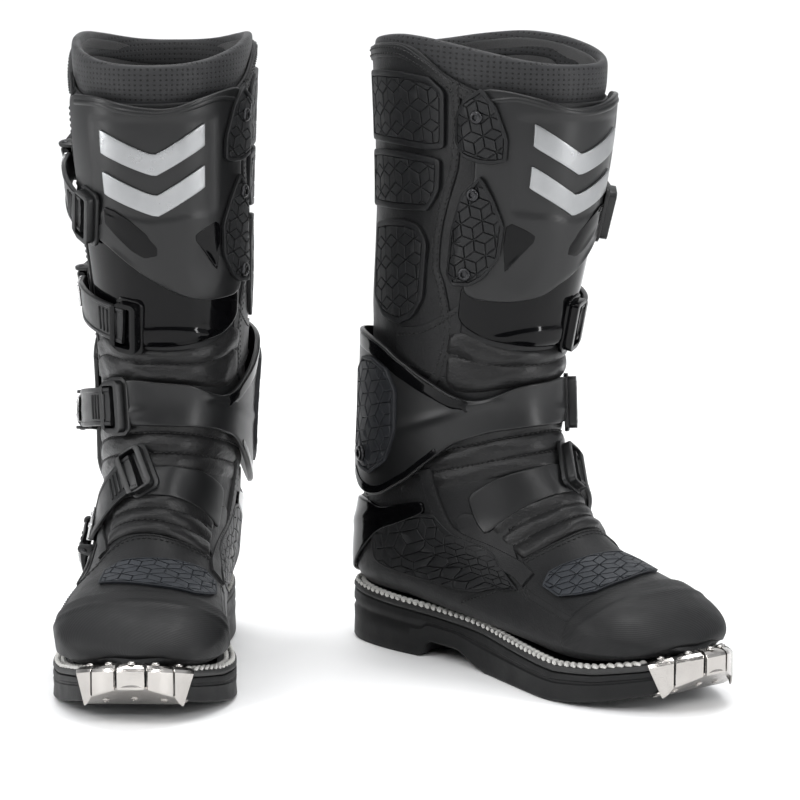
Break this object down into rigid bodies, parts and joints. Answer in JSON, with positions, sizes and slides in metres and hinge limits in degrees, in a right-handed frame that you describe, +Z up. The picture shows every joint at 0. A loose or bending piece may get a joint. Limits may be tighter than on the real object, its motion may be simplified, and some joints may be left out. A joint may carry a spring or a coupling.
{
  "type": "riding boots",
  "caption": "Pair of tall buckled riding boots with hinged ankles, an opening shin plate, strap-and-lever buckles, moulded rubber panels, a stitched welt and a steel toe clip.",
  "frame": {"origin": "on the floor, at the middle of the pair's plan box", "axes": "+Z up from the floor; the right boot's toe points towards -Y, and the left boot stands on its +X side, turned out towards +X"},
  "size_m": [0.4154, 0.3166, 0.3962],
  "materials": {
    "black_leather": "matte grained microfibre leather",
    "collar_leather": "soft perforated padding",
    "matte_black": "matte moulded",
    "gloss_black": "gloss moulded",
    "slate_rubber": "matte, incised pattern",
    "black_rubber": "matte, fine texture",
    "sole_rubber": "matte",
    "welt": "stitched, off-white thread",
    "strap_pu": "satin polyurethane",
    "polished_steel": "polished",
    "dark_steel": "black oxide",
    "brushed_silver": "brushed",
    "board": "insole board"
  },
  "bodies": {
    "right_foot": {"right_outsole": "sole_rubber", "right_welt": "welt", "right_shankboard": "board", "right_foot_upper": "black_leather", "right_toe_guard": "black_rubber", "right_toe_plate": "polished_steel", "right_toe_screws": "dark_steel", "right_foot_pads": "slate_rubber", "right_heel_cup": "gloss_black", "right_instep_plate": "matte_black", "right_instep_buckle_base": "gloss_black"},
    "right_cuff": {"right_shaft": "black_leather", "right_liner": "collar_leather", "right_ankle_bellows": "black_leather", "right_rubber_panels": "slate_rubber", "right_ankle_frame": "gloss_black", "right_shaft_fittings": "gloss_black"},
    "right_shin_flap": {"right_shin_plate": "matte_black", "right_mid_plate": "gloss_black", "right_emblem": "brushed_silver", "right_shin_brackets": "black_rubber", "right_bracket_screws": "dark_steel"},
    "right_strap_1_body": {"right_strap_1": "strap_pu"},
    "right_lever_1_body": {"right_lever_1": "gloss_black"},
    "right_strap_2_body": {"right_strap_2": "strap_pu"},
    "right_lever_2_body": {"right_lever_2": "gloss_black"},
    "right_strap_3_body": {"right_strap_3": "strap_pu"},
    "right_lever_3_body": {"right_lever_3": "gloss_black"},
    "right_strap_4_body": {"right_strap_4": "strap_pu"},
    "right_lever_4_body": {"right_lever_4": "gloss_black"},
    "left_foot": {"left_outsole": "sole_rubber", "left_welt": "welt", "left_shankboard": "board", "left_foot_upper": "black_leather", "left_toe_guard": "black_rubber", "left_toe_plate": "polished_steel", "left_toe_screws": "dark_steel", "left_foot_pads": "slate_rubber", "left_heel_cup": "gloss_black", "left_instep_plate": "matte_black", "left_instep_buckle_base": "gloss_black"},
    "left_cuff": {"left_shaft": "black_leather", "left_liner": "collar_leather", "left_ankle_bellows": "black_leather", "left_rubber_panels": "slate_rubber", "left_ankle_frame": "gloss_black", "left_shaft_fittings": "gloss_black"},
    "left_shin_flap": {"left_shin_plate": "matte_black", "left_mid_plate": "gloss_black", "left_emblem": "brushed_silver", "left_shin_brackets": "black_rubber", "left_bracket_screws": "dark_steel"},
    "left_strap_1_body": {"left_strap_1": "strap_pu"},
    "left_lever_1_body": {"left_lever_1": "gloss_black"},
    "left_strap_2_body": {"left_strap_2": "strap_pu"},
    "left_lever_2_body": {"left_lever_2": "gloss_black"},
    "left_strap_3_body": {"left_strap_3": "strap_pu"},
    "left_lever_3_body": {"left_lever_3": "gloss_black"},
    "left_strap_4_body": {"left_strap_4": "strap_pu"},
    "left_lever_4_body": {"left_lever_4": "gloss_black"}
  },
  "joints": [
    {"name": "right_ankle_flex", "type": "hinge", "parent": "right_foot", "child": "right_cuff", "pos_m": [-0.1382, 0.09214, 0.13], "axis": [0.9994, -0.0349, 0], "range_deg": [-6, 5], "stiffness_Nm_per_rad": 20, "deforming": ["right_ankle_bellows"]},
    {"name": "right_shin_flap_hinge", "type": "hinge", "parent": "right_cuff", "child": "right_shin_flap", "pos_m": [-0.0874, 0.0207, 0.30095], "axis": [0.0279, -0.1159, 0.9929], "range_deg": [0, 28], "stiffness_Nm_per_rad": 1.5},
    {"name": "right_strap_1_swing", "type": "hinge", "parent": "right_shin_flap", "child": "right_strap_1_body", "pos_m": [-0.18676, -0.0129, 0.28699], "axis": [0.0619, -0.3812, 0.9224], "range_deg": [0, 45], "stiffness_Nm_per_rad": 0.05},
    {"name": "right_lever_1_hinge", "type": "hinge", "parent": "right_cuff", "child": "right_lever_1_body", "pos_m": [-0.20203, 0.06814, 0.31479], "axis": [-0.1222, -0.3643, 0.9232], "range_deg": [0, 100]},
    {"name": "right_strap_2_swing", "type": "hinge", "parent": "right_shin_flap", "child": "right_strap_2_body", "pos_m": [-0.16269, -0.01342, 0.21787], "axis": [0.0277, -0.285, 0.9581], "range_deg": [0, 45], "stiffness_Nm_per_rad": 0.05},
    {"name": "right_lever_2_hinge", "type": "hinge", "parent": "right_cuff", "child": "right_lever_2_body", "pos_m": [-0.19394, 0.07539, 0.23441], "axis": [-0.0966, -0.219, 0.9709], "range_deg": [0, 100]},
    {"name": "right_strap_3_swing", "type": "hinge", "parent": "right_cuff", "child": "right_strap_3_body", "pos_m": [-0.1721, 0.00054, 0.166], "axis": [-0.0657, 0.127, 0.9897], "range_deg": [0, 45], "stiffness_Nm_per_rad": 0.05},
    {"name": "right_lever_3_hinge", "type": "hinge", "parent": "right_cuff", "child": "right_lever_3_body", "pos_m": [-0.19658, 0.08423, 0.15178], "axis": [0.0205, 0.1787, 0.9837], "range_deg": [0, 100]},
    {"name": "right_strap_4_swing", "type": "hinge", "parent": "right_foot", "child": "right_strap_4_body", "pos_m": [-0.15709, -0.02069, 0.12877], "axis": [-0.346, 0.6059, 0.7163], "range_deg": [0, 45], "stiffness_Nm_per_rad": 0.05},
    {"name": "right_lever_4_hinge", "type": "hinge", "parent": "right_foot", "child": "right_lever_4_body", "pos_m": [-0.18976, 0.03041, 0.07951], "axis": [0.1087, 0.7573, 0.644], "range_deg": [0, 100]},
    {"name": "left_ankle_flex", "type": "hinge", "parent": "left_foot", "child": "left_cuff", "pos_m": [0.03452, 0.07354, 0.13], "axis": [0.766, 0.6428, 0], "range_deg": [-6, 5], "stiffness_Nm_per_rad": 20, "deforming": ["left_ankle_bellows"]},
    {"name": "left_shin_flap_hinge", "type": "hinge", "parent": "left_cuff", "child": "left_shin_flap", "pos_m": [0.03848, -0.01404, 0.30095], "axis": [-0.0494, 0.1085, -0.9929], "range_deg": [0, 28], "stiffness_Nm_per_rad": 1.5},
    {"name": "left_strap_1_swing", "type": "hinge", "parent": "left_shin_flap", "child": "left_strap_1_body", "pos_m": [0.13746, 0.02066, 0.28699], "axis": [-0.186, 0.3385, -0.9224], "range_deg": [0, 45], "stiffness_Nm_per_rad": 0.05},
    {"name": "left_lever_1_hinge", "type": "hinge", "parent": "left_cuff", "child": "left_lever_1_body", "pos_m": [0.09959, 0.09392, 0.31479], "axis": [-0.3205, 0.2118, -0.9232], "range_deg": [0, 100]},
    {"name": "left_strap_2_swing", "type": "hinge", "parent": "left_shin_flap", "child": "left_strap_2_body", "pos_m": [0.1188, 0.00543, 0.21787], "axis": [-0.1537, 0.2416, -0.9581], "range_deg": [0, 45], "stiffness_Nm_per_rad": 0.05},
    {"name": "left_lever_2_hinge", "type": "hinge", "parent": "left_cuff", "child": "left_lever_2_body", "pos_m": [0.08876, 0.09465, 0.23441], "axis": [-0.2109, 0.1131, -0.9709], "range_deg": [0, 100]},
    {"name": "left_strap_3_swing", "type": "hinge", "parent": "left_cuff", "child": "left_strap_3_body", "pos_m": [0.11763, 0.02223, 0.166], "axis": [0.0264, -0.1405, -0.9897], "range_deg": [0, 45], "stiffness_Nm_per_rad": 0.05},
    {"name": "left_lever_3_hinge", "type": "hinge", "parent": "left_cuff", "child": "left_lever_3_body", "pos_m": [0.0854, 0.10325, 0.15178], "axis": [0.1261, -0.1282, -0.9837], "range_deg": [0, 100]},
    {"name": "left_strap_4_swing", "type": "hinge", "parent": "left_foot", "child": "left_strap_4_body", "pos_m": [0.11887, -0.00374, 0.12877], "axis": [0.1004, -0.6905, -0.7163], "range_deg": [0, 45], "stiffness_Nm_per_rad": 0.05},
    {"name": "left_lever_4_hinge", "type": "hinge", "parent": "left_foot", "child": "left_lever_4_body", "pos_m": [0.11315, 0.05664, 0.07951], "axis": [0.5519, -0.5298, -0.644], "range_deg": [0, 100]},
    {"name": "left_boot_lift", "type": "slide", "parent": "right_foot", "child": "left_foot", "axis": [0, 0, 1], "range_m": [0, 0.45]}
  ]
}
